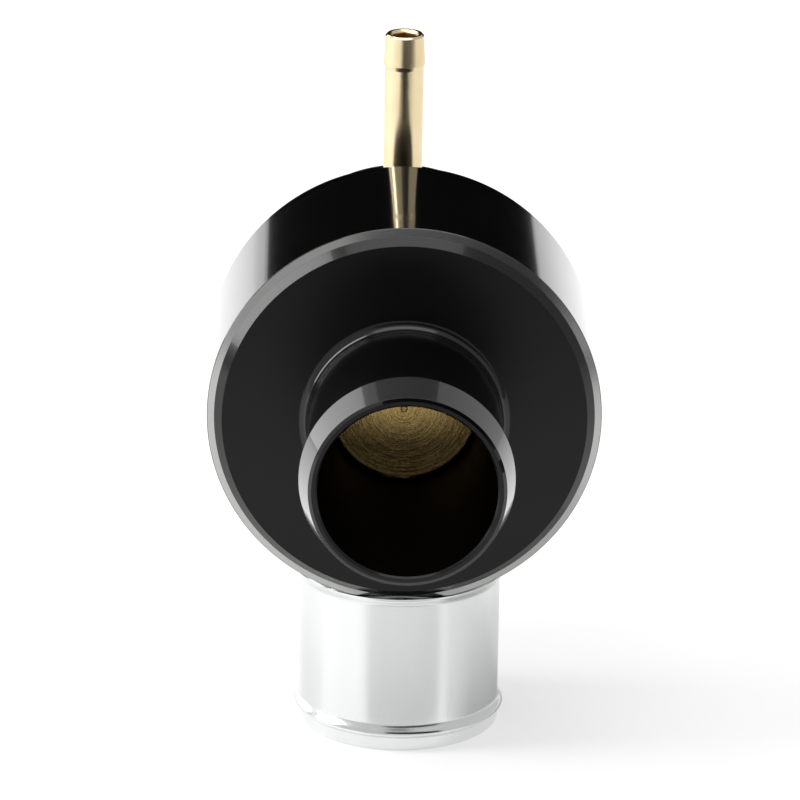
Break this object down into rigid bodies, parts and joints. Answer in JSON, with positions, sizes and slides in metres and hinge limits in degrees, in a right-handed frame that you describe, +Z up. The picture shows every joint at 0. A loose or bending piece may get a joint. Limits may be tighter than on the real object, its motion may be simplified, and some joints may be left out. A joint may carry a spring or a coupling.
{
  "type": "blow off valve",
  "caption": "Black turned blow off valve with a lipped inlet spigot, a beaded aluminium outlet tube below, a brass piston inside and a brass vacuum nipple at the rear.",
  "frame": {"origin": "centre of the outlet tube's lower end, on the plane the valve stands on", "axes": "+Z up along the outlet tube, -Y along the cylinder towards the inlet's mouth, +X to the right seen from the inlet"},
  "size_m": [0.061, 0.0942, 0.1037],
  "materials": {
    "black_anodised": "turned, black anodised, satin face and glossy outside",
    "bare_aluminium": "satin tube with polished rolled beads",
    "piston_brass": "turned, dull",
    "nipple_brass": "turned, bright",
    "washer_copper": "plain copper",
    "spring_steel": "plain, oiled",
    "seal_rubber": "matt black",
    "guide_plastic": "natural white"
  },
  "bodies": {
    "housing": {"body": "black_anodised", "outlet_tube": "bare_aluminium", "spring": "spring_steel", "spring_washer": "spring_steel", "rear_cap": "black_anodised", "cap_seal": "seal_rubber", "circlip": "spring_steel", "nipple": "nipple_brass", "nipple_washer": "washer_copper"},
    "valve": {"piston": "piston_brass", "seat_seal": "seal_rubber", "guide_ring": "guide_plastic", "piston_seal": "seal_rubber"}
  },
  "joints": [
    {"name": "piston_slide", "type": "slide", "parent": "housing", "child": "valve", "axis": [0, 1, 0], "range_m": [0, 0.011], "stiffness_N_per_m": 2160, "springref_m": -0.008, "deforming": ["spring"]}
  ]
}
